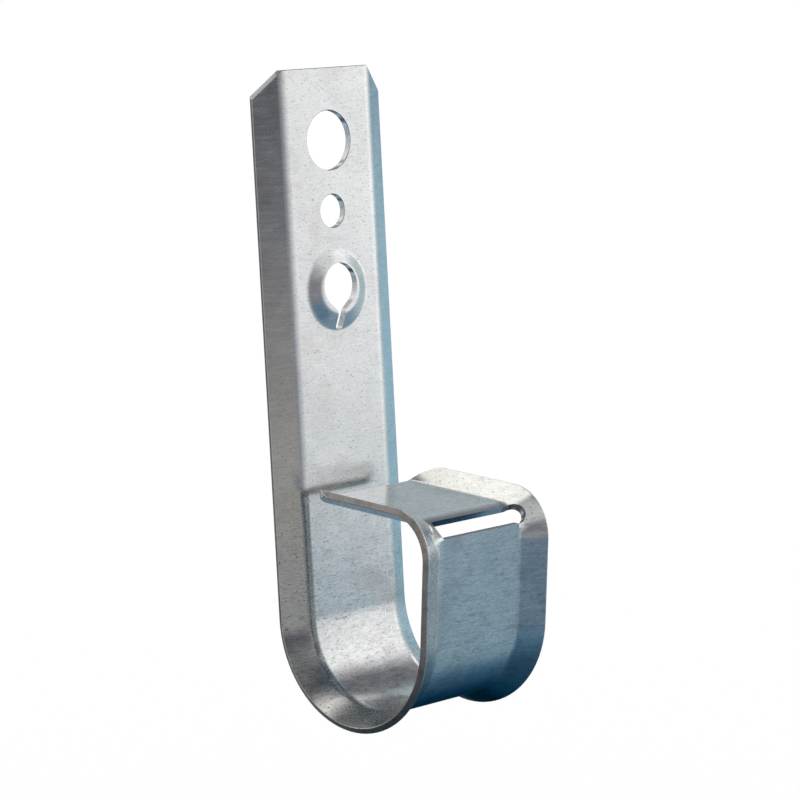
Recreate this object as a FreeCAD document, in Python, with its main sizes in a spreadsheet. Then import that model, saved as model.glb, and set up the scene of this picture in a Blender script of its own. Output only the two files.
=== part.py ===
import FreeCAD, Part
import math
import os

import Sketcher
from FreeCAD import Placement, Rotation, Vector

# A J-shaped cable support, pressed from one strip of galvanised sheet steel.
#
# The strip hangs on a wall by the large hole near its top. Below that are a small
# hole and a raised boss with a keyhole. The strip then curls forward into a round
# loop, rises as a lip, turns a tight crown and runs back as a short leaf, which
# stops a little in front of the strip so that cables can be pushed in. Both long
# edges of the strip flare outwards, so that no sharp edge meets the cables.
#
# The frame: the origin is the centre of the large hole on the strip's front face,
# X runs across the strip, Y runs back to the wall, and Z is up.

# Driving sizes, in millimetres and degrees
SIZES = [
    ("sheet", 0.8, "thickness of the sheet"),
    ("strip_flat", 12.1, "flat of the strip, between the bends of the two flanges"),
    ("strip_width", 20.1, "width across the tips of the two flanges"),
    ("flange_angle", 27.0, "how far each flange turns out of the flat"),
    ("flange_bend", 2.0, "inside radius of the flanges' bends"),
    ("edge_round", 0.15, "radius that shearing leaves along the outer corner of each long edge"),
    ("top_margin", 8.3, "from the large hole up to the strip's top edge"),
    ("loop_drop", 54.4, "from the large hole down to the centre of the loop"),
    ("loop_radius", 9.5, "inside radius of the loop"),
    ("lip_lean", 6.2, "how far the lip leans forward"),
    ("lip_length", 9.8, "straight length of the lip"),
    ("crown_radius", 3.05, "inside radius where the lip turns back into the leaf"),
    ("leaf_rise", 5.8, "how far the leaf rises towards the back"),
    ("leaf_length", 14.0, "straight length of the leaf"),
    ("leaf_corner", 4.3, "radius of the leaf's two free corners, seen from above"),
    ("top_crop_across", 3.35, "width of the cropped top corners"),
    ("top_crop_down", 3.1, "height of the cropped top corners"),
    ("large_hole", 6.85, "diameter of the large fixing hole"),
    ("small_hole", 3.85, "diameter of the small fixing hole"),
    ("small_hole_drop", 8.1, "from the large hole down to the small hole"),
    ("boss_drop", 17.1, "from the large hole down to the centre of the boss"),
    ("boss_foot", 9.2, "diameter of the boss at its foot"),
    ("boss_crest", 5.95, "diameter of the boss at its crest"),
    ("boss_height", 0.7, "how far the boss stands out of the strip"),
    ("boss_blend", 1.5, "radius where the boss runs into the flat"),
    ("crest_blend", 1.5, "radius round the boss's crest"),
    ("key_hole", 5.2, "diameter of the keyhole's round part"),
    ("key_rise", 0.45, "from the centre of the boss up to the centre of the keyhole"),
    ("key_shoulder", 49.0, "angle of each shoulder of the keyhole to the vertical"),
    ("key_fillet", 0.6, "radius where a shoulder runs into the slit"),
    ("slit_width", 1.12, "width of the keyhole's slit"),
    ("slit_reach", 5.2, "from the keyhole's centre down to the end of its slit"),
    ("slot_start", 121.0, "where the crown's slot starts, as an angle round the crown"),
    ("slot_end", 159.6, "where the crown's slot ends, as an angle round the crown"),
    ("slot_left", 5.75, "reach of the slot's square end, left of the middle"),
    ("slot_right", 7.9, "reach of the slot's round end, right of the middle"),
    ("slot_corner", 0.35, "radius of the corners of the slot's square end"),
    ("flat_width", 14.5, "width over which the lip's face is carried on past the crown's tangent"),
    ("flat_rise", 1.9, "how far it is carried on, to the corner with a chamfer"),
    ("flat_round", 1.0, "radius of that corner"),
    ("tongue_right", 6.4, "reach of the lip's flat edge along the slot, right of the middle"),
    ("panel_floor", 11.2, "width of the shallow panel's floor, on the front of the lip"),
    ("panel_depth", 0.13, "depth of that panel"),
    ("panel_slope", 11.75, "slope of the panel's two sides"),
]

# How far the cutting shapes reach past the sheet, which changes nothing on the part
OVERCUT = 2.0
LEAF_OVERCUT = 0.5
SLOT_INSIDE = 0.8
SLOT_OUTSIDE = 1.4
BURIED_SHARE = 0.86
BEHIND_TONGUE = 0.85
ABOVE_TONGUE = 0.65
PANEL_OVERRUN = 2.5
PANEL_SIDE = 0.85

# How nearly two lengths have to agree when an edge is looked up
NEAR = 1e-4

# Which end of a line or arc a relation holds, and the numbers of a sketch's own axes
START = 1
END = 2
CENTRE = 3
ACROSS_AXIS = -1
UP_AXIS = -2
FIRST_OUTSIDE_EDGE = -3

# Order of the pieces of the side view
STRIP, LOOP, LIP, CROWN, LEAF = range(5)

doc = FreeCAD.newDocument("cable_support")
sheet = doc.addObject("Spreadsheet::Sheet", "sizes")
size = {}
for row, (alias, number, meaning) in enumerate(SIZES, start=1):
    sheet.set(f"A{row}", meaning)
    sheet.set(f"B{row}", str(number))
    sheet.setAlias(f"B{row}", alias)
    size[alias] = number
doc.recompute()

body = doc.addObject("PartDesign::Body", "hook_body")
body.Label = "hook_body"

# Rules for places along the side view: the foot of the lip and the centre of the crown
LEAN = "(sizes.lip_lean * 1 deg)"
FOOT_Y = f"-sizes.loop_radius * (1 + cos{LEAN})"
FOOT_Z = f"-sizes.loop_drop - sizes.loop_radius * sin{LEAN}"
CROWN_Y = f"{FOOT_Y} - sizes.lip_length * sin{LEAN} + sizes.crown_radius * cos{LEAN}"
CROWN_Z = f"{FOOT_Z} + sizes.lip_length * cos{LEAN} + sizes.crown_radius * sin{LEAN}"
OUTER = "(sizes.crown_radius + sizes.sheet)"


def origin_plane(role):
    """Return one of the body's own origin planes, by its role."""
    for feature in body.Origin.OriginFeatures:
        if feature.Role == role:
            return feature
    raise RuntimeError("no plane " + role)


def attach(feature, role, across=None, up=None, out=None, turn=None):
    """Put a feature on an origin plane, with its offset and turn bound to the sheet of sizes."""
    feature.AttachmentSupport = (origin_plane(role), [""])
    feature.MapMode = "FlatFace"
    for axis, rule in (("x", across), ("y", up), ("z", out)):
        if rule:
            feature.setExpression("AttachmentOffset.Base." + axis, rule)
    if turn:
        feature.setExpression("AttachmentOffset.Rotation.Angle", turn)


def new_sketch(name, role, turn_axis=None, **offset):
    """Start a sketch on an origin plane; a turned one says which of its axes it turns about."""
    sketch = body.newObject("Sketcher::SketchObject", name)
    if turn_axis:
        sketch.AttachmentOffset = Placement(Vector(), Rotation(turn_axis, 1))
    attach(sketch, role, **offset)
    return sketch


def relate(sketch, kind, *where):
    """Add a relation without a size to a sketch."""
    sketch.addConstraint(Sketcher.Constraint(kind, *where))


def join(sketch, kind, chain):
    """Relate each end in a list of (geometry, point) pairs to the next one, two by two."""
    for first, second in zip(chain[::2], chain[1::2]):
        relate(sketch, kind, *first, *second)


def dimension(sketch, name, kind, *where_and_value, rule):
    """Add a named dimension to a sketch and bind it to the sheet of sizes."""
    index = sketch.addConstraint(Sketcher.Constraint(kind, *where_and_value))
    sketch.renameConstraint(index, name)
    sketch.setExpression("Constraints." + name, rule)


def line(sketch, start, end):
    """Add a line between two points given as pairs."""
    return sketch.addGeometry(Part.LineSegment(Vector(*start, 0), Vector(*end, 0)))


def arc(sketch, centre, radius, start_angle, end_angle):
    """Add an arc, counter-clockwise, with its angles in degrees."""
    circle = Part.Circle(Vector(*centre, 0), Vector(0, 0, 1), radius)
    curve = Part.ArcOfCircle(circle, math.radians(start_angle), math.radians(end_angle))
    return sketch.addGeometry(curve)


def polar(centre, radius, angle):
    """Return the point at a radius and an angle in degrees from a centre."""
    turn = math.radians(angle)
    return (centre[0] + radius * math.cos(turn), centre[1] + radius * math.sin(turn))


def pinned_polygon(sketch, corners):
    """Add a closed outline; each corner is two pairs, across and up, of a value and its rule."""
    points = [(across[0], up[0]) for across, up in corners]
    sides = [line(sketch, points[k - 1], points[k]) for k in range(len(points))]
    for k, side in enumerate(sides):
        across, up = corners[k]
        relate(sketch, "Coincident", side, END, sides[(k + 1) % len(sides)], START)
        dimension(sketch, f"corner{k}_x", "DistanceX", ACROSS_AXIS, START, side, END, across[0],
                  rule=across[1])
        dimension(sketch, f"corner{k}_y", "DistanceY", ACROSS_AXIS, START, side, END, up[0],
                  rule=up[1])


def cut(name, sketch, length_rule=None, one_way=False):
    """Cut a sketch out of the sheet, both ways or along its normal, right through or to a length."""
    pocket = body.newObject("PartDesign::Pocket", name)
    pocket.Profile = sketch
    pocket.Midplane = not one_way
    pocket.Reversed = one_way
    if length_rule:
        pocket.Type = "Length"
        pocket.setExpression("Length", length_rule)
    else:
        pocket.Type = "ThroughAll"
    doc.recompute()
    return pocket


def fill(name, sketch, length_rule, one_way=False):
    """Add a sketch to the sheet, both ways or along its normal, to a total length."""
    pad = body.newObject("PartDesign::Pad", name)
    pad.Profile = sketch
    pad.Midplane = not one_way
    pad.setExpression("Length", length_rule)
    doc.recompute()


def mirror_across(name, feature):
    """Repeat a cut on the other side of the strip's middle."""
    mirrored = body.newObject("PartDesign::Mirrored", name)
    mirrored.Originals = [feature]
    mirrored.MirrorPlane = (origin_plane("YZ_Plane"), [""])
    body.Tip = mirrored
    doc.recompute()


# Section of the strip: a flat between two flared flanges, with its front face on the X axis
def draw_section():
    sketch = new_sketch("section", "XY_Plane", out="sizes.top_margin")
    thick = size["sheet"]
    bend = size["flange_bend"]
    turn = size["flange_angle"]
    rounding = size["edge_round"]
    half_flat = size["strip_flat"] / 2
    half_width = size["strip_width"] / 2
    front_bend = bend + thick
    centre = (half_flat, front_bend)
    bend_front = polar(centre, front_bend, turn - 90)
    bend_rear = polar(centre, bend, turn - 90)
    reach = (half_width - bend_front[0]) / math.cos(math.radians(turn))
    tip_front = polar(bend_front, reach, turn)
    tip_top = polar(tip_front, thick - rounding, turn + 90)
    round_centre = polar(tip_top, rounding, turn + 180)
    tip_rear = polar(round_centre, rounding, turn + 90)

    def left(point):
        return (-point[0], point[1])

    left_front = line(sketch, left(tip_front), left(bend_front))
    left_front_arc = arc(sketch, left(centre), front_bend, -90 - turn, -90)
    flat_front = line(sketch, (-half_flat, 0), (half_flat, 0))
    right_front_arc = arc(sketch, centre, front_bend, -90, turn - 90)
    right_front = line(sketch, bend_front, tip_front)
    right_tip = line(sketch, tip_front, tip_top)
    right_round = arc(sketch, round_centre, rounding, turn, turn + 90)
    right_rear = line(sketch, tip_rear, bend_rear)
    right_rear_arc = arc(sketch, centre, bend, -90, turn - 90)
    flat_rear = line(sketch, (half_flat, thick), (-half_flat, thick))
    left_rear_arc = arc(sketch, left(centre), bend, -90 - turn, -90)
    left_rear = line(sketch, left(bend_rear), left(tip_rear))
    left_round = arc(sketch, left(round_centre), rounding, 90 - turn, 180 - turn)
    left_tip = line(sketch, left(tip_top), left(tip_front))

    join(sketch, "Tangent", [
        (left_front, END), (left_front_arc, START), (left_front_arc, END), (flat_front, START),
        (flat_front, END), (right_front_arc, START), (right_front_arc, END), (right_front, START),
        (right_tip, END), (right_round, START), (right_round, END), (right_rear, START),
        (right_rear, END), (right_rear_arc, END), (right_rear_arc, START), (flat_rear, START),
        (flat_rear, END), (left_rear_arc, END), (left_rear_arc, START), (left_rear, START),
        (left_rear, END), (left_round, START), (left_round, END), (left_tip, START)])
    join(sketch, "Coincident", [
        (right_front, END), (right_tip, START), (left_tip, END), (left_front, START),
        (left_front_arc, CENTRE), (left_rear_arc, CENTRE),
        (right_front_arc, CENTRE), (right_rear_arc, CENTRE)])
    relate(sketch, "Symmetric", left_front_arc, CENTRE, right_front_arc, CENTRE, UP_AXIS)
    relate(sketch, "Symmetric", left_front, START, right_front, END, UP_AXIS)
    relate(sketch, "Perpendicular", left_front, left_tip)
    relate(sketch, "Perpendicular", right_front, right_tip)
    relate(sketch, "Parallel", left_front, left_rear)
    relate(sketch, "Parallel", right_front, right_rear)
    relate(sketch, "PointOnObject", flat_front, START, ACROSS_AXIS)
    relate(sketch, "PointOnObject", flat_front, END, ACROSS_AXIS)
    relate(sketch, "Horizontal", flat_rear)
    relate(sketch, "Equal", left_round, right_round)
    dimension(sketch, "thickness", "DistanceY", flat_front, END, flat_rear, START, thick,
              rule="sizes.sheet")
    dimension(sketch, "bend", "Radius", right_rear_arc, bend, rule="sizes.flange_bend")
    dimension(sketch, "rounding", "Radius", right_round, rounding, rule="sizes.edge_round")
    dimension(sketch, "flat", "DistanceX", flat_front, START, flat_front, END, 2 * half_flat,
              rule="sizes.strip_flat")
    dimension(sketch, "width", "DistanceX", left_front, START, right_front, END, 2 * half_width,
              rule="sizes.strip_width")
    dimension(sketch, "flare", "Angle", ACROSS_AXIS, START, right_front, START,
              math.radians(turn), rule="sizes.flange_angle * 1 deg")
    return sketch


# Side view of the strip's front face: strip, loop, lip, crown and leaf
def draw_side_path():
    sketch = new_sketch("side_path", "YZ_Plane")
    radius = size["loop_radius"]
    drop = size["loop_drop"]
    lean = size["lip_lean"]
    crown_radius = size["crown_radius"]
    rise = size["leaf_rise"]
    loop_centre = (-radius, -drop)
    lip_foot = polar(loop_centre, radius, 180 + lean)
    lip_head = polar(lip_foot, size["lip_length"], 90 + lean)
    crown_centre = polar(lip_head, crown_radius, lean)
    leaf_root = polar(crown_centre, crown_radius, 90 + rise)

    line(sketch, (0, size["top_margin"]), (0, -drop))
    arc(sketch, loop_centre, radius, lean - 180, 0)
    line(sketch, lip_foot, lip_head)
    arc(sketch, crown_centre, crown_radius, 90 + rise, 180 + lean)
    line(sketch, leaf_root, polar(leaf_root, size["leaf_length"], rise))

    join(sketch, "Tangent", [
        (STRIP, END), (LOOP, END), (LOOP, START), (LIP, START),
        (LIP, END), (CROWN, END), (CROWN, START), (LEAF, START)])
    relate(sketch, "PointOnObject", STRIP, START, UP_AXIS)
    relate(sketch, "PointOnObject", STRIP, END, UP_AXIS)
    dimension(sketch, "top", "DistanceY", ACROSS_AXIS, START, STRIP, START, size["top_margin"],
              rule="sizes.top_margin")
    dimension(sketch, "drop", "DistanceY", STRIP, END, ACROSS_AXIS, START, drop,
              rule="sizes.loop_drop")
    dimension(sketch, "loop", "Radius", LOOP, radius, rule="sizes.loop_radius")
    dimension(sketch, "lean", "Angle", UP_AXIS, START, LIP, START, math.radians(lean),
              rule="sizes.lip_lean * 1 deg")
    dimension(sketch, "lip", "Distance", LIP, size["lip_length"], rule="sizes.lip_length")
    dimension(sketch, "crown", "Radius", CROWN, crown_radius, rule="sizes.crown_radius")
    dimension(sketch, "rise", "Angle", ACROSS_AXIS, START, LEAF, START, math.radians(rise),
              rule="sizes.leaf_rise * 1 deg")
    dimension(sketch, "leaf", "Distance", LEAF, size["leaf_length"], rule="sizes.leaf_length")
    return sketch


# The folded strip itself: the section swept along the side view
def fold_strip():
    section = draw_section()
    side_path = draw_side_path()
    pipe = body.newObject("PartDesign::AdditivePipe", "folded_strip")
    pipe.Profile = section
    pipe.Spine = (side_path, [])
    pipe.Mode = "Standard"
    pipe.Transition = "Transformed"
    doc.recompute()
    return side_path


# Cropped corners at the top of the strip
def crop_top_corners():
    sketch = new_sketch("top_crop_outline", "XZ_Plane")
    half = size["strip_width"] / 2
    top = size["top_margin"]
    inner = (half - size["top_crop_across"], "sizes.strip_width / 2 - sizes.top_crop_across")
    outer = (half, "sizes.strip_width / 2")
    beyond = (half + OVERCUT, f"sizes.strip_width / 2 + {OVERCUT}")
    edge = (top, "sizes.top_margin")
    low = (top - size["top_crop_down"], "sizes.top_margin - sizes.top_crop_down")
    high = (top + OVERCUT, f"sizes.top_margin + {OVERCUT}")
    pinned_polygon(sketch, [(inner, edge), (outer, low), (beyond, high)])
    mirror_across("both_top_crops", cut("top_crop", sketch))


# Rounded free corners of the leaf, cut straight up from the height of the crown's centre
def round_leaf_corners():
    sketch = new_sketch("leaf_corner_outline", "XY_Plane", out=CROWN_Z)
    sketch.addExternal(side_path.Name, f"Edge{LEAF + 1}")
    end_y = side_path.getPoint(LEAF, END).x
    radius = size["leaf_corner"]
    half = size["strip_width"] / 2
    past_end = line(sketch, (half - radius, end_y), (half - radius, end_y + LEAF_OVERCUT))
    across = line(sketch, (half - radius, end_y + LEAF_OVERCUT),
                  (half + OVERCUT, end_y + LEAF_OVERCUT))
    down = line(sketch, (half + OVERCUT, end_y + LEAF_OVERCUT), (half + OVERCUT, end_y - radius))
    back = line(sketch, (half + OVERCUT, end_y - radius), (half, end_y - radius))
    corner = arc(sketch, (half - radius, end_y - radius), radius, 0, 90)

    join(sketch, "Coincident", [
        (past_end, END), (across, START), (across, END), (down, START),
        (down, END), (back, START), (back, END), (corner, START),
        (corner, END), (past_end, START)])
    join(sketch, "Horizontal", [(corner, CENTRE), (corner, START),
                                (past_end, START), (FIRST_OUTSIDE_EDGE, END)])
    join(sketch, "Vertical", [(corner, CENTRE), (corner, END)])
    relate(sketch, "Vertical", past_end)
    relate(sketch, "Horizontal", across)
    relate(sketch, "Vertical", down)
    relate(sketch, "Horizontal", back)
    dimension(sketch, "side", "DistanceX", ACROSS_AXIS, START, corner, START, half,
              rule="sizes.strip_width / 2")
    dimension(sketch, "corner", "Radius", corner, radius, rule="sizes.leaf_corner")
    dimension(sketch, "past_end", "DistanceY", past_end, START, past_end, END, LEAF_OVERCUT,
              rule=str(LEAF_OVERCUT))
    dimension(sketch, "past_side", "DistanceX", corner, START, down, END, OVERCUT,
              rule=str(OVERCUT))
    mirror_across("both_leaf_corners", cut("leaf_corner_cut", sketch, one_way=True))


# The two round fixing holes, one above the other
def punch_fixing_holes():
    sketch = new_sketch("fixing_hole_circles", "XZ_Plane")
    facing = Vector(0, 0, 1)
    small_centre = Vector(0, -size["small_hole_drop"], 0)
    large = sketch.addGeometry(Part.Circle(Vector(), facing, size["large_hole"] / 2))
    small = sketch.addGeometry(Part.Circle(small_centre, facing, size["small_hole"] / 2))
    relate(sketch, "Coincident", large, CENTRE, ACROSS_AXIS, START)
    relate(sketch, "PointOnObject", small, CENTRE, UP_AXIS)
    dimension(sketch, "large", "Diameter", large, size["large_hole"], rule="sizes.large_hole")
    dimension(sketch, "small", "Diameter", small, size["small_hole"], rule="sizes.small_hole")
    dimension(sketch, "apart", "DistanceY", small, CENTRE, large, CENTRE, size["small_hole_drop"],
              rule="sizes.small_hole_drop")
    cut("fixing_holes", sketch)


def boss_cone(kind, name, inset, depth=None):
    """Add or cut a cone on the boss's axis; inset makes it narrower and depth sinks it."""
    cone = body.newObject("PartDesign::" + kind, name)
    attach(cone, "XZ_Plane", up="-sizes.boss_drop", out=depth)
    cone.setExpression("Radius1", f"sizes.boss_foot / 2 - {inset}")
    cone.setExpression("Radius2", f"sizes.boss_crest / 2 - {inset}")
    cone.setExpression("Height", "sizes.boss_height")
    doc.recompute()


def blend_ring(name, plane_y, diameter, rule):
    """Round the circular edge of the boss that has a diameter and lies at a depth."""
    base = body.Tip
    names = []
    for number, edge in enumerate(base.Shape.Edges, start=1):
        curve = edge.Curve
        if isinstance(curve, Part.Circle) and abs(curve.Center.y - plane_y) < NEAR:
            if abs(2 * curve.Radius - diameter) < NEAR:
                names.append(f"Edge{number}")
    blend = body.newObject("PartDesign::Fillet", name)
    blend.Base = (base, names)
    blend.setExpression("Radius", rule)
    doc.recompute()


# Boss: a low cone pushed forward out of the strip and hollow behind, all in one thickness
def raise_boss():
    slope = "atan(2 * sizes.boss_height / (sizes.boss_foot - sizes.boss_crest))"
    boss_cone("AdditiveCone", "boss_cone", "0")
    boss_cone("SubtractiveCone", "boss_hollow", f"sizes.sheet * tan({slope} / 2)", "-sizes.sheet")
    thick = size["sheet"]
    steepness = math.atan(2 * size["boss_height"] / (size["boss_foot"] - size["boss_crest"]))
    narrower = 2 * thick * math.tan(steepness / 2)
    blend_ring("foot_front_blend", 0, size["boss_foot"], "sizes.boss_blend")
    blend_ring("foot_rear_blend", thick, size["boss_foot"] - narrower,
               "sizes.boss_blend + sizes.sheet")
    blend_ring("crest_blend", -size["boss_height"], size["boss_crest"], "sizes.crest_blend")


# Keyhole through the boss: a round hole whose shoulders narrow into a slit
def cut_keyhole():
    sketch = new_sketch("keyhole_outline", "XZ_Plane")
    radius = size["key_hole"] / 2
    half_slit = size["slit_width"] / 2
    fillet = size["key_fillet"]
    shoulder = size["key_shoulder"]
    middle = size["key_rise"] - size["boss_drop"]
    slit_end = middle - size["slit_reach"] + half_slit
    apex = middle - radius / math.sin(math.radians(shoulder))
    throat = apex + half_slit / math.tan(math.radians(shoulder))
    fillet_centre = (half_slit + fillet, throat - fillet * math.tan(math.radians(shoulder) / 2))
    touch = polar((0, middle), radius, -shoulder)
    turn_in = polar(fillet_centre, fillet, 180 - shoulder)
    slit_top = (half_slit, fillet_centre[1])
    slit_low = (half_slit, slit_end)

    def left(point):
        return (-point[0], point[1])

    round_part = arc(sketch, (0, middle), radius, -shoulder, 180 + shoulder)
    left_shoulder = line(sketch, left(touch), left(turn_in))
    left_fillet = arc(sketch, left(fillet_centre), fillet, 0, shoulder)
    left_side = line(sketch, left(slit_top), left(slit_low))
    end = arc(sketch, (0, slit_end), half_slit, 180, 360)
    right_side = line(sketch, slit_low, slit_top)
    right_fillet = arc(sketch, fillet_centre, fillet, 180 - shoulder, 180)
    right_shoulder = line(sketch, turn_in, touch)

    join(sketch, "Tangent", [
        (round_part, END), (left_shoulder, START), (left_shoulder, END), (left_fillet, END),
        (left_fillet, START), (left_side, START), (left_side, END), (end, START),
        (end, END), (right_side, START), (right_side, END), (right_fillet, END),
        (right_fillet, START), (right_shoulder, START), (right_shoulder, END), (round_part, START)])
    relate(sketch, "PointOnObject", round_part, CENTRE, UP_AXIS)
    relate(sketch, "PointOnObject", end, CENTRE, UP_AXIS)
    relate(sketch, "Vertical", left_side)
    relate(sketch, "Equal", left_fillet, right_fillet)
    relate(sketch, "Symmetric", left_fillet, CENTRE, right_fillet, CENTRE, UP_AXIS)
    dimension(sketch, "middle", "DistanceY", round_part, CENTRE, ACROSS_AXIS, START, -middle,
              rule="sizes.boss_drop - sizes.key_rise")
    dimension(sketch, "hole", "Radius", round_part, radius, rule="sizes.key_hole / 2")
    dimension(sketch, "shoulder", "Angle", right_shoulder, START, UP_AXIS, START,
              math.radians(shoulder), rule="sizes.key_shoulder * 1 deg")
    dimension(sketch, "slit", "Radius", end, half_slit, rule="sizes.slit_width / 2")
    dimension(sketch, "reach", "DistanceY", end, CENTRE, round_part, CENTRE, middle - slit_end,
              rule="sizes.slit_reach - sizes.slit_width / 2")
    dimension(sketch, "fillet", "Radius", left_fillet, fillet, rule="sizes.key_fillet")
    cut("keyhole", sketch)


def slot_outline(name, depth, depth_rule):
    """Draw the crown slot's outline at a distance from the crown's centre; it widens outwards."""
    middle = "((sizes.slot_start + sizes.slot_end) / 2 - 90) * 1 deg"
    half_rule = f"{depth_rule} * tan((sizes.slot_end - sizes.slot_start) / 2 * 1 deg)"
    sketch = new_sketch(name, "XY_Plane", turn_axis=Vector(1, 0, 0), turn=middle,
                        up=f"{CROWN_Y} - {depth_rule} * sin({middle})",
                        out=f"{CROWN_Z} + {depth_rule} * cos({middle})")
    half = depth * math.tan(math.radians(size["slot_end"] - size["slot_start"]) / 2)
    left = -size["slot_left"]
    radius = size["slot_corner"]
    right = size["slot_right"] - half
    bottom = line(sketch, (left + radius, -half), (right, -half))
    round_end = arc(sketch, (right, 0), half, -90, 90)
    top = line(sketch, (right, half), (left + radius, half))
    top_corner = arc(sketch, (left + radius, half - radius), radius, 90, 180)
    square_end = line(sketch, (left, half - radius), (left, radius - half))
    bottom_corner = arc(sketch, (left + radius, radius - half), radius, 180, 270)

    join(sketch, "Tangent", [
        (bottom, END), (round_end, START), (round_end, END), (top, START),
        (top, END), (top_corner, START), (top_corner, END), (square_end, START),
        (square_end, END), (bottom_corner, START), (bottom_corner, END), (bottom, START)])
    relate(sketch, "Horizontal", bottom)
    relate(sketch, "Horizontal", top)
    relate(sketch, "Vertical", square_end)
    relate(sketch, "PointOnObject", round_end, CENTRE, ACROSS_AXIS)
    relate(sketch, "Equal", top_corner, bottom_corner)
    dimension(sketch, "half", "Radius", round_end, half, rule=half_rule)
    dimension(sketch, "corner", "Radius", top_corner, radius, rule="sizes.slot_corner")
    dimension(sketch, "left", "DistanceX", square_end, START, ACROSS_AXIS, START, -left,
              rule="sizes.slot_left")
    dimension(sketch, "right", "DistanceX", ACROSS_AXIS, START, round_end, CENTRE, right,
              rule=f"sizes.slot_right - {half_rule}")
    return sketch


# Slot through the crown: square at its left end and round at its right, with walls square
# to the curved sheet, so its outline grows with the distance from the crown's centre
def cut_crown_slot():
    inside = slot_outline("slot_inside", size["crown_radius"] - SLOT_INSIDE,
                          f"(sizes.crown_radius - {SLOT_INSIDE})")
    outside = slot_outline("slot_outside", size["crown_radius"] + size["sheet"] + SLOT_OUTSIDE,
                           f"(sizes.crown_radius + sizes.sheet + {SLOT_OUTSIDE})")
    doc.recompute()
    slot = body.newObject("PartDesign::SubtractiveLoft", "crown_slot")
    slot.Profile = inside
    slot.Sections = [outside]
    slot.Ruled = True
    doc.recompute()


def crown_side_sketch(name, out=None):
    """Start a side view about the crown's centre, turned so that its second axis runs up the lip."""
    return new_sketch(name, "YZ_Plane", turn_axis=Vector(0, 0, 1), turn=LEAN,
                      across=CROWN_Y, up=CROWN_Z, out=out)


# Lip's face carried on past the tangent, then on a chamfer that touches the crown again
def carry_lip_face():
    sketch = crown_side_sketch("lip_face_side")
    outer = size["crown_radius"] + size["sheet"]
    buried = size["crown_radius"] + BURIED_SHARE * size["sheet"]
    buried_rule = f"(sizes.crown_radius + {BURIED_SHARE} * sizes.sheet)"
    rounding = size["flat_round"]
    turn = 2 * math.degrees(math.atan(size["flat_rise"] / outer))
    turn_rule = f"(2 * atan(sizes.flat_rise / {OUTER}))"
    centre = (rounding - outer,
              size["flat_rise"] - rounding * math.tan(math.radians(turn / 2)))
    touch = polar((0, 0), outer, 180 - turn)
    below_touch = polar((0, 0), buried, 180 - turn)

    face = line(sketch, (-outer, 0), (-outer, centre[1]))
    corner = arc(sketch, centre, rounding, 180 - turn, 180)
    chamfer = line(sketch, polar(centre, rounding, 180 - turn), touch)
    inward = line(sketch, touch, below_touch)
    back = line(sketch, below_touch, (-buried, 0))
    foot = line(sketch, (-buried, 0), (-outer, 0))

    join(sketch, "Tangent", [(face, END), (corner, END), (corner, START), (chamfer, START)])
    join(sketch, "Coincident", [(chamfer, END), (inward, START), (inward, END), (back, START),
                                (back, END), (foot, START), (foot, END), (face, START)])
    relate(sketch, "Vertical", face)
    relate(sketch, "Perpendicular", chamfer, inward)
    relate(sketch, "PointOnObject", face, START, ACROSS_AXIS)
    relate(sketch, "PointOnObject", foot, START, ACROSS_AXIS)
    dimension(sketch, "outer", "DistanceX", face, START, ACROSS_AXIS, START, outer, rule=OUTER)
    dimension(sketch, "buried", "DistanceX", foot, START, ACROSS_AXIS, START, buried,
              rule=buried_rule)
    dimension(sketch, "corner", "Radius", corner, rounding, rule="sizes.flat_round")
    for name, point, radius, radius_rule in (("touch", START, outer, OUTER),
                                             ("below", END, buried, buried_rule)):
        place = polar((0, 0), radius, 180 - turn)
        dimension(sketch, name + "_x", "DistanceX", inward, point, ACROSS_AXIS, START, -place[0],
                  rule=f"{radius_rule} * cos{turn_rule}")
        dimension(sketch, name + "_y", "DistanceY", ACROSS_AXIS, START, inward, point, place[1],
                  rule=f"{radius_rule} * sin{turn_rule}")
    fill("lip_face", sketch, "sizes.flat_width")


def beside_slot(name, near, far, top):
    """Draw a block's side view at the slot's square end, from the crown's tangent up."""
    sketch = crown_side_sketch(name, out="-sizes.slot_left")
    tangent = (0, "0")
    pinned_polygon(sketch, [(near, tangent), (near, top), (far, top), (far, tangent)])
    return sketch


# Between the slot's ends there is nothing for the lip to bend round, so it stays flat there,
# with its edge square, up to where the slot begins in its face
TONGUE_LENGTH = "sizes.slot_left + sizes.tongue_right"
TONGUE_RISE = f"{OUTER} * tan(180 deg + {LEAN} - sizes.slot_end * 1 deg)"


def tongue_rise():
    outer = size["crown_radius"] + size["sheet"]
    return outer * math.tan(math.radians(180 + size["lip_lean"] - size["slot_end"]))


def clear_behind_tongue():
    rear = (-size["crown_radius"], "-sizes.crown_radius")
    behind = (BEHIND_TONGUE - size["crown_radius"], f"{BEHIND_TONGUE} - sizes.crown_radius")
    top = (tongue_rise() + ABOVE_TONGUE, f"{TONGUE_RISE} + {ABOVE_TONGUE}")
    cut("behind_lip", beside_slot("behind_tongue", rear, behind, top), TONGUE_LENGTH,
        one_way=True)


def raise_tongue():
    front = (-size["crown_radius"] - size["sheet"], "-" + OUTER)
    rear = (-size["crown_radius"], "-sizes.crown_radius")
    top = (tongue_rise(), TONGUE_RISE)
    fill("tongue", beside_slot("tongue_side", front, rear, top), TONGUE_LENGTH, one_way=True)


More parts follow.
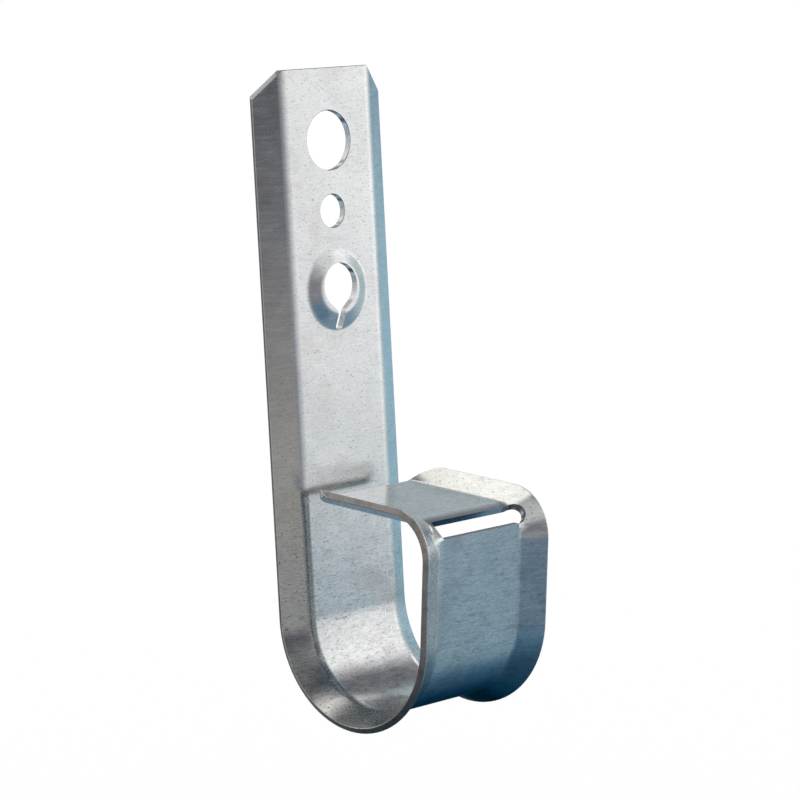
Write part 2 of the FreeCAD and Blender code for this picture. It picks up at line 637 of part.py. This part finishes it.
# Shallow panel with sloped sides, pressed into the front of the lip; it runs out on the loop
def press_lip_panel():
    halfway = "sizes.lip_length / 2"
    sketch = new_sketch("panel_section", "XY_Plane", turn_axis=Vector(1, 0, 0), turn=LEAN,
                        up=f"{FOOT_Y} - {halfway} * sin{LEAN}",
                        out=f"{FOOT_Z} + {halfway} * cos{LEAN}")
    floor = (size["panel_depth"] - size["sheet"], "sizes.panel_depth - sizes.sheet")
    climb = PANEL_SIDE * math.tan(math.radians(size["panel_slope"]))
    rim = (floor[0] - climb, f"{floor[1]} - {PANEL_SIDE} * tan(sizes.panel_slope * 1 deg)")
    clear = (-size["sheet"] - OVERCUT, f"-sizes.sheet - {OVERCUT}")
    half = size["panel_floor"] / 2
    foot_right = (half, "sizes.panel_floor / 2")
    foot_left = (-half, "-sizes.panel_floor / 2")
    right = (half + PANEL_SIDE, f"sizes.panel_floor / 2 + {PANEL_SIDE}")
    left = (-half - PANEL_SIDE, f"-sizes.panel_floor / 2 - {PANEL_SIDE}")
    pinned_polygon(sketch, [(left, clear), (left, rim), (foot_left, floor),
                            (foot_right, floor), (right, rim), (right, clear)])
    cut("lip_panel", sketch, length_rule=f"sizes.lip_length + 2 * {PANEL_OVERRUN}")


def check_volume(step, grows):
    """Run one step and make sure that it added or removed metal as it should."""
    before = body.Shape.Volume
    step()
    if (body.Shape.Volume > before) != grows or body.Shape.Volume == before:
        raise RuntimeError(step.__name__ + " did not change the part as it should")


side_path = fold_strip()
check_volume(crop_top_corners, grows=False)
check_volume(round_leaf_corners, grows=False)
check_volume(punch_fixing_holes, grows=False)
check_volume(raise_boss, grows=True)
check_volume(cut_keyhole, grows=False)
check_volume(carry_lip_face, grows=True)
check_volume(cut_crown_slot, grows=False)
check_volume(clear_behind_tongue, grows=False)
check_volume(raise_tongue, grows=True)
check_volume(press_lip_panel, grows=False)

failed = [item.Label for item in doc.Objects if {"Invalid", "Error"} & set(item.State)]
if failed:
    raise RuntimeError("failed: " + ", ".join(failed))
hook = body.Shape
if hook.isNull() or not hook.isValid() or len(hook.Solids) != 1:
    raise RuntimeError("the hook is not one valid solid")

os.makedirs("parts", exist_ok=True)
hook.exportStep(f"parts/{body.Label}.step")
print(body.Label, round(hook.Volume, 3), "cubic mm", len(hook.Faces), "faces")
print(hook.BoundBox)
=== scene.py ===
import math

import bmesh
import bpy
from mathutils import Matrix, Vector
from mathutils.bvhtree import BVHTree

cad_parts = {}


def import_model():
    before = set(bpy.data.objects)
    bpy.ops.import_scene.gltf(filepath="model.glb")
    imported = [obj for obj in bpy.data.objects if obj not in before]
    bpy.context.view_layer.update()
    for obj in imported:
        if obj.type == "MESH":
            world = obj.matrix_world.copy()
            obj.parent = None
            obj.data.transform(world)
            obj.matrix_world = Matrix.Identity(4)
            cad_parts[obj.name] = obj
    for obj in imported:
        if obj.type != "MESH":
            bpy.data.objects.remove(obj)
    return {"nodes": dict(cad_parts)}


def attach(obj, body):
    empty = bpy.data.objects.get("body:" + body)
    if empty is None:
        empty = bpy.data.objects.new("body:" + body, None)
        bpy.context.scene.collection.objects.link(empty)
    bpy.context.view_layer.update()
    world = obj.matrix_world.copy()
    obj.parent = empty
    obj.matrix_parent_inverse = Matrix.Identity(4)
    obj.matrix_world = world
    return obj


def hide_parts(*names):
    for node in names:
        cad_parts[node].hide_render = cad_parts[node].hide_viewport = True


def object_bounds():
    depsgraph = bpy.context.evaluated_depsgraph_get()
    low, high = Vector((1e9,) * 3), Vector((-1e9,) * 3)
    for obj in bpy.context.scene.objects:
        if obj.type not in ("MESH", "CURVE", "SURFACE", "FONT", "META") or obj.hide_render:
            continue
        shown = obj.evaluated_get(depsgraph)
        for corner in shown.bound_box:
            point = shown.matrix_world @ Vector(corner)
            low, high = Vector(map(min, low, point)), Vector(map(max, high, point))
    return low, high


MM = 0.001

# The sheet and how its cut edges are eased
SHEET = 0.8 * MM
EDGE_EASE = 0.08 * MM
EDGE_SEGMENTS = 2
MERGE_DISTANCE = 0.002 * MM
FLAT_ANGLE = math.radians(0.4)
SHARP_ANGLE = math.radians(35)
NORMAL_WEIGHT = 80
# A face is a cut edge where the metal behind it is deeper than the sheet is thick, with less to
# spare at the slot's far end, where the wall is short
CUT_DEPTH = 2.5 * SHEET
CUT_DEPTH_AT_SLOT = 1.5 * SHEET
SLOT_END = 6 * MM
# The walls of the holes in the strip keep their zinc: how far down, out and up these holes lie
STRIP_BOTTOM = -35 * MM
HOLE_REACH = 6 * MM
TOP_EDGE = 8 * MM
# The slot keeps its sharp edges: where it is
SLOT_REACH = 8.3 * MM
CROWN_FRONT = -17.5 * MM
CROWN_BOTTOM = -46.5 * MM
# So does the keyhole, whose curves are too tight to ease: how high and low it reaches
KEYHOLE_TOP = -12 * MM
KEYHOLE_END = -24 * MM

# Camera, from the photograph's viewing angle
CAMERA_PLACE = Vector((-252.27, -264.58, 12.98)) * MM
CAMERA_AZIMUTH = math.radians(44.67)
CAMERA_TILT = math.radians(6.76)
CAMERA_ROLL = math.radians(2.99)
CAMERA_LENS = 143.25
CAMERA_SENSOR = 36
CAMERA_NEAR = 0.01
CAMERA_FAR = 100

# Colours of the zinc, from dull to bright, and of what has rubbed and dirtied it
DULL_ZINC = (0.58, 0.59, 0.60)
BRIGHT_ZINC = (0.92, 0.93, 0.93)
RUBBED_BROWN = (0.60, 0.52, 0.49)
SMUDGE_GREY = (0.42, 0.40, 0.39)
SPECK_GREY = (0.24, 0.22, 0.21)
ZINC_ROUGHNESS = 0.18
# Marks to the metre across, back and up: the streaks, dashes, smudges and specks are flat ones
STREAKS = (420, 420, 3200)
DASHES = (1300, 1300, 6500)
SMUDGES = (500, 500, 2200)
SPECKS = (4200, 4200, 6500)
GRAIN = 5200
CLOUDS = 230
PATCHES = 120
WAVES = 330
# The zinc is rubbed and streaked from the loop's top down
LOOP_TOP = -36 * MM
LOOP_BOTTOM = -50 * MM

# Colours of the sheared steel, from dull to bright, and of its rust
DULL_STEEL = (0.34, 0.32, 0.30)
BRIGHT_STEEL = (0.72, 0.70, 0.68)
RUST_BROWN = (0.30, 0.23, 0.20)
STEEL_ROUGHNESS = 0.42
DRAW_LINES = 3200
RUST = 700
# The cut edge is browner lower down
EDGE_LIGHT = -46 * MM
EDGE_DARK = -54 * MM

# Studio
WHITE = (1, 1, 1, 1)
BLACK = (0, 0, 0, 1)
FLOOR_DROP = 45 * MM
FLOOR_SIZE = 60.0
STUDIO_MIDDLE = Vector((0, -9, -30)) * MM
DOME_RADIUS = 0.4
DOME_SEGMENTS = 64
DOME_RINGS = 32

# What the bare metal reflects: the room's tone by height in degrees, from the dark blue table
# under the hook to the pale ceiling over it
ROOM = (
    (-90, (0.00, 0.04, 0.07)),
    (-60, (0.03, 0.08, 0.14)),
    (-45, (0.06, 0.15, 0.24)),
    (-30, (0.15, 0.25, 0.34)),
    (-15, (0.33, 0.43, 0.50)),
    (0, (0.70, 0.75, 0.75)),
    (45, (0.10, 0.10, 0.12)),
    (70, (0.60, 0.60, 0.60)),
    (80, (1.30, 1.30, 1.25)),
)
# Then the lights, flags and walls that stand in it, each over those before it: azimuth from the
# front towards the hook's right and height of the middle, half width and half height, softness
# of the edges across and up (all in degrees), and colour
STUDIO = {
    "softbox": (35, 15, 25, 24, 15, 15, (0.85, 0.85, 0.85)),
    "softbox_lamp": (60, 17, 15, 27, 30, 20, (1.20, 1.20, 1.20)),
    "softbox_side": (85, 5, 10, 25, 10, 20, (0.60, 0.70, 0.70)),
    "flag_over_softbox": (55, 65, 55, 12, 60, 8, (0.10, 0.12, 0.12)),
    "front_wall": (-10, 0, 25, 20, 45, 10, (0.25, 0.25, 0.28)),
    "front_board": (-14, -13, 9, 7, 12, 14, (0.46, 0.44, 0.39)),
    "front_shade": (-15, 7, 8, 6, 12, 12, (0.13, 0.14, 0.16)),
    "front_light": (-5, 55, 8, 35, 6, 20, (0.75, 0.75, 0.75)),
    "front_flag": (-45, 40, 32, 40, 10, 40, (0.00, 0.00, 0.00)),
    "left_softbox": (-55, 15, 25, 30, 15, 50, (0.85, 0.82, 0.80)),
    "left_wall": (-100, 30, 35, 45, 25, 40, (0.35, 0.35, 0.35)),
    "left_back_light": (-160, 30, 20, 24, 25, 10, (0.95, 0.95, 0.95)),
    "left_back_wall": (-170, -20, 25, 30, 10, 40, (0.02, 0.03, 0.04)),
    "left_table_light": (-150, -25, 16, 12, 20, 10, (0.65, 0.75, 0.85)),
    "left_table_gap": (-110, -45, 35, 30, 45, 30, (0.05, 0.07, 0.10)),
    "back_side": (150, 0, 18, 48, 45, 10, (0.65, 0.80, 0.85)),
    "back_wall": (160, 15, 22, 25, 35, 20, (0.18, 0.20, 0.20)),
    "back_light": (152, 60, 15, 20, 15, 10, (1.30, 1.27, 1.20)),
    "side_gap": (100, 4, 5, 8, 10, 12, (0.24, 0.40, 0.52)),
    "blue_light": (112, -12, 18, 12, 25, 15, (0.60, 1.00, 1.20)),
    "front_table": (-6, -26, 14, 8, 26, 14, (0.09, 0.18, 0.27)),
    "blue_table": (50, -31, 24, 15, 18, 14, (0.23, 0.35, 0.43)),
    "corner_light": (92, 29, 7, 6, 8, 8, (1.70, 1.70, 1.65)),
    "table_shade": (125, -45, 28, 45, 45, 50, (0.00, 0.03, 0.07)),
    "back_table": (139, -48, 16, 17, 12, 10, (0.00, 0.01, 0.02)),
}


class Value:
    """A number socket in a node tree, so that shader maths is written as plain sums."""

    def __init__(self, tree, socket):
        self.tree = tree
        self.socket = socket

    def math(self, operation, *others, first=None):
        inputs = dict(enumerate((self if first is None else first, *others)))
        return self.tree.node("ShaderNodeMath", {"operation": operation}, inputs)

    def __add__(self, other):
        return self.math("ADD", other)

    def __sub__(self, other):
        return self.math("SUBTRACT", other)

    def __mul__(self, other):
        return self.math("MULTIPLY", other)

    def __rsub__(self, other):
        return self.math("SUBTRACT", self, first=other)

    def __abs__(self):
        return self.math("ABSOLUTE")

    __radd__ = __add__
    __rmul__ = __mul__

    def clamped(self):
        """The value held between 0 and 1."""
        return self.tree.node("ShaderNodeClamp", {}, {"Value": self})

    def step(self, low, high):
        """A soft step from 0 at one value to 1 at another."""
        settings = {"interpolation_type": "SMOOTHSTEP"}
        inputs = {"Value": self, "From Min": low, "From Max": high}
        return self.tree.node("ShaderNodeMapRange", settings, inputs)

    def swing(self, share):
        """How far the value is over or under a half, times a share."""
        return (self - 0.5) * share


class Tree:
    """The node tree of a new material or of the world."""

    def __init__(self, owner):
        owner.use_nodes = True
        self.nodes = owner.node_tree.nodes
        self.links = owner.node_tree.links
        self.nodes.clear()

    def node(self, kind, settings, inputs, output=0):
        """Add a node: its settings first, then the values or links of its sockets."""
        made = self.nodes.new(kind)
        for name, value in settings.items():
            if name == "stops":
                self.fill_ramp(made.color_ramp, value)
            else:
                setattr(made, name, value)
        for name, value in inputs.items():
            if isinstance(value, Value):
                self.links.new(value.socket, made.inputs[name])
            else:
                made.inputs[name].default_value = value
        return Value(self, made.outputs[output])

    @staticmethod
    def fill_ramp(ramp, stops):
        """Give a colour ramp its stops."""
        while len(ramp.elements) < len(stops):
            ramp.elements.new(1.0)
        for element, (place, colour) in zip(ramp.elements, stops):
            element.position = place
            element.color = (*colour, 1)

    def place(self, stretch=(1, 1, 1), shift=(0, 0, 0)):
        """Object coordinates, stretched and shifted for a pattern."""
        point = self.node("ShaderNodeTexCoord", {}, {}, "Object")
        inputs = {"Vector": point, "Scale": stretch, "Location": shift}
        return self.node("ShaderNodeMapping", {}, inputs)

    def height(self, low, high):
        """A soft step from 0 at one height on the hook to 1 at another."""
        return self.node("ShaderNodeSeparateXYZ", {}, {0: self.place()}, "Z").step(low, high)

    def noise(self, where, scale=1.0, detail=2, roughness=0.5):
        """Soft noise from 0 to 1."""
        inputs = {"Vector": where, "Scale": scale, "Detail": detail, "Roughness": roughness}
        return self.node("ShaderNodeTexNoise", {}, inputs, "Fac")

    def blend(self, factor, first, second):
        """Mix two colours."""
        first, second = (colour if isinstance(colour, Value) else (*colour, 1)
                         for colour in (first, second))
        inputs = {0: factor, 6: first, 7: second}
        return self.node("ShaderNodeMix", {"data_type": "RGBA"}, inputs, 2)

    def bump(self, height, strength, distance, **under):
        """Fine relief, over another one where that is given as Normal."""
        inputs = {"Height": height, "Strength": strength, "Distance": distance, **under}
        return self.node("ShaderNodeBump", {}, inputs)

    def metal(self, colour, roughness, bump):
        """Finish the tree as bare metal."""
        inputs = {"Base Color": colour, "Metallic": 1.0, "Roughness": roughness, "Normal": bump}
        self.surface(self.node("ShaderNodeBsdfPrincipled", {}, inputs))

    def surface(self, shader, end="ShaderNodeOutputMaterial"):
        """Send a shader to the output."""
        self.links.new(shader.socket, self.nodes.new(end).inputs["Surface"])


def material(name):
    """Start a material and return it with its tree."""
    made = bpy.data.materials.new(name)
    return made, Tree(made)


# Hot-dip zinc on cold-rolled sheet: fine streaks along the rolling direction, across the strip,
# with small dark specks, rubbed brownish patches and smudges lower down and a faint cloudiness
def zinc():
    made, tree = material("galvanised_sheet")
    streaks = tree.noise(tree.place(STREAKS), detail=3, roughness=0.6)
    dashes = tree.noise(tree.place(DASHES, (2.3, 0.9, 5.1)))
    grain = tree.noise(tree.place(), GRAIN, detail=1)
    clouds = tree.noise(tree.place(shift=(0.02, 0.05, 0.01)), CLOUDS, detail=3, roughness=0.6)
    patches = tree.noise(tree.place(shift=(0.4, 0.1, 0.7)), PATCHES, detail=3, roughness=0.65)
    speck_field = tree.noise(tree.place(SPECKS, (3.1, 1.7, 0.4)), detail=0, roughness=0.4)
    specks = speck_field.step(0.72, 0.78)
    smudge_field = tree.noise(tree.place(SMUDGES, (1.2, 0.3, 0.8)), detail=3, roughness=0.65)
    smudges = smudge_field.step(0.55, 0.70)
    worn = tree.height(LOOP_TOP, LOOP_BOTTOM)
    tone = (0.5 + streaks.swing(0.75) + dashes.swing(0.7 + 0.9 * worn) + grain.swing(0.4)
            + clouds.swing(0.75))
    colour = tree.blend(tone.clamped(), DULL_ZINC, BRIGHT_ZINC)
    brown = (0.25 + 0.2 * worn) * patches.step(0.52, 0.68)
    colour = tree.blend(brown, colour, RUBBED_BROWN)
    colour = tree.blend((0.12 + 0.42 * worn) * smudges, colour, SMUDGE_GREY)
    colour = tree.blend((0.5 + 0.25 * worn) * specks, colour, SPECK_GREY)
    roughness = (ZINC_ROUGHNESS + 0.05 * worn + streaks.swing(0.12) + clouds.swing(0.10)
                 + 0.2 * specks)
    waves = tree.noise(tree.place(shift=(0.7, 0.2, 0.9)), WAVES, detail=1, roughness=0.4)
    fine = tree.bump(streaks + 0.5 * grain, strength=0.25, distance=0.01 * MM)
    bump = tree.bump(waves, strength=0.5, distance=0.05 * MM, Normal=fine)
    tree.metal(colour, roughness, bump)
    return made


# Sheared steel: the bare cut through the sheet, with fine draw lines across its thickness
def sheared_steel():
    made, tree = material("sheared_edge")
    lines = tree.noise(tree.place(), DRAW_LINES, detail=3, roughness=0.6)
    rust = tree.noise(tree.place(shift=(0.3, 0.8, 0.2)), RUST)
    colour = tree.blend(lines, DULL_STEEL, BRIGHT_STEEL)
    brown = 0.25 + 0.35 * rust.step(0.45, 0.65) + 0.3 * tree.height(EDGE_LIGHT, EDGE_DARK)
    colour = tree.blend(brown.clamped(), colour, RUST_BROWN)
    bump = tree.bump(lines, strength=0.4, distance=0.02 * MM)
    tree.metal(colour, STEEL_ROUGHNESS + lines.swing(0.1), bump)
    return made


def is_punched(place):
    """Whether a place is in the strip's middle, where its holes are."""
    return STRIP_BOTTOM < place.z < TOP_EDGE and abs(place.x) < HOLE_REACH


def is_at_slot(place):
    """Whether a place is on the crown at the slot."""
    return abs(place.x) < SLOT_REACH and place.y < CROWN_FRONT and place.z > CROWN_BOTTOM


def is_at_keyhole(place):
    """Whether a place is on the keyhole or its slit."""
    return KEYHOLE_END < place.z < KEYHOLE_TOP and abs(place.x) < HOLE_REACH


def mark_cut_edges(shape):
    """Give the faces of the sheet's cut edges the second material."""
    tree = BVHTree.FromBMesh(shape)
    for face in shape.faces:
        middle = face.calc_center_median()
        depth = tree.ray_cast(middle - face.normal * MERGE_DISTANCE, -face.normal)[3]
        far_end = is_at_slot(middle) and middle.x > SLOT_END
        limit = CUT_DEPTH_AT_SLOT if far_end else CUT_DEPTH
        deep = depth is None or depth > limit
        face.material_index = int(deep and not is_punched(middle))


def can_be_eased(edge):
    """Whether an edge is clear of the slot and the keyhole."""
    middle = (edge.verts[0].co + edge.verts[1].co) / 2
    return not is_at_slot(middle) and not is_at_keyhole(middle)


# The hook: the folded sheet with its sharp edges eased and its cut edges left bare
def hook(node):
    shape = bmesh.new()
    shape.from_mesh(node.data)
    bmesh.ops.remove_doubles(shape, verts=shape.verts, dist=MERGE_DISTANCE)
    mark_cut_edges(shape)
    bmesh.ops.dissolve_limit(shape, angle_limit=FLAT_ANGLE, verts=shape.verts,
                             edges=shape.edges, delimit={"MATERIAL"})
    sharp = [edge for edge in shape.edges
             if len(edge.link_faces) == 2 and edge.calc_face_angle() > SHARP_ANGLE]
    for edge in sharp:
        edge.smooth = False
    eased = [edge for edge in sharp if can_be_eased(edge)]
    bmesh.ops.bevel(shape, geom=eased, offset=EDGE_EASE, offset_type="OFFSET",
                    affect="EDGES", segments=EDGE_SEGMENTS, profile=0.5, material=-1,
                    clamp_overlap=False)
    for face in shape.faces:
        face.smooth = True
    made = place_object("hook", shape, (zinc(), sheared_steel()))
    weighted = made.modifiers.new("weighted_normals", "WEIGHTED_NORMAL")
    weighted.keep_sharp = True
    weighted.weight = NORMAL_WEIGHT
    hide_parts(node.name)
    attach(made, "root")


def place_object(name, shape, looks):
    """Make a finished shape an object of the scene, with its materials."""
    mesh = bpy.data.meshes.new(name)
    shape.to_mesh(mesh)
    shape.free()
    made = bpy.data.objects.new(name, mesh)
    for look in looks:
        made.data.materials.append(look)
    bpy.context.scene.collection.objects.link(made)
    return made


def floor(lowest):
    made, tree = material("white_floor")
    tree.surface(tree.node("ShaderNodeBsdfDiffuse", {}, {"Color": WHITE}))
    shape = bmesh.new()
    bmesh.ops.create_grid(shape, x_segments=1, y_segments=1, size=FLOOR_SIZE / 2)
    bmesh.ops.translate(shape, verts=shape.verts, vec=(0, 0, lowest - FLOOR_DROP))
    plane = place_object("floor", shape, (made,))
    plane.visible_glossy = False


def room_tone(tree, height):
    """The room's tone at a height in degrees."""
    stops = [((degrees + 90) / 180, colour) for degrees, colour in ROOM]
    share = height * (1 / 180) + 0.5
    return tree.node("ShaderNodeValToRGB", {"stops": stops}, {"Fac": share})


# The room round the hook: a dome that only reflections see, with soft lights, flags and walls
def surroundings():
    made, tree = material("studio_room")
    point = tree.place(shift=-STUDIO_MIDDLE)
    aim = tree.node("ShaderNodeVectorMath", {"operation": "NORMALIZE"}, {0: point})
    split = "ShaderNodeSeparateXYZ"
    across, back, up = (tree.node(split, {}, {0: aim}, axis) for axis in "XYZ")
    azimuth = across.math("ARCTAN2", 0 - back).math("DEGREES")
    height = up.math("ARCSINE").math("DEGREES")
    light = room_tone(tree, height)
    for turn, rise, width, tall, soft_across, soft_up, colour in STUDIO.values():
        aside = abs((azimuth - turn).math("WRAP", 180, -180))
        above = abs(height - rise)
        mask = (aside.step(width + soft_across / 2, width - soft_across / 2)
                * above.step(tall + soft_up / 2, tall - soft_up / 2))
        light = tree.blend(mask, light, colour)
    tree.surface(tree.node("ShaderNodeBsdfPrincipled", {}, {
        "Base Color": BLACK, "Specular IOR Level": 0, "Roughness": 1.0,
        "Emission Color": light, "Emission Strength": 1.0}))
    shape = bmesh.new()
    bmesh.ops.create_uvsphere(shape, u_segments=DOME_SEGMENTS, v_segments=DOME_RINGS,
                              radius=DOME_RADIUS)
    bmesh.ops.reverse_faces(shape, faces=shape.faces)
    bmesh.ops.translate(shape, verts=shape.verts, vec=STUDIO_MIDDLE)
    dome = place_object("surroundings", shape, (made,))
    dome.visible_camera = False
    dome.visible_diffuse = False
    dome.visible_shadow = False
    dome.visible_transmission = False


def world():
    made = bpy.data.worlds.new("studio")
    bpy.context.scene.world = made
    tree = Tree(made)
    background = tree.node("ShaderNodeBackground", {}, {"Color": WHITE, "Strength": 1.0})
    tree.surface(background, "ShaderNodeOutputWorld")


def camera():
    lens = bpy.data.cameras.new("camera")
    lens.lens = CAMERA_LENS
    lens.sensor_width = CAMERA_SENSOR
    lens.clip_start = CAMERA_NEAR
    lens.clip_end = CAMERA_FAR
    made = bpy.data.objects.new("camera", lens)
    turn = (Matrix.Rotation(-CAMERA_AZIMUTH, 4, "Z")
            @ Matrix.Rotation(math.pi / 2 - CAMERA_TILT, 4, "X")
            @ Matrix.Rotation(-CAMERA_ROLL, 4, "Z"))
    made.matrix_world = Matrix.Translation(CAMERA_PLACE) @ turn
    bpy.context.scene.collection.objects.link(made)
    bpy.context.scene.camera = made


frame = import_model()
cad_low, cad_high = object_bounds()
bpy.context.scene.view_settings.view_transform = "Standard"
hook(frame["nodes"]["hook_body"])
floor(cad_low.z)
surroundings()
world()
camera()
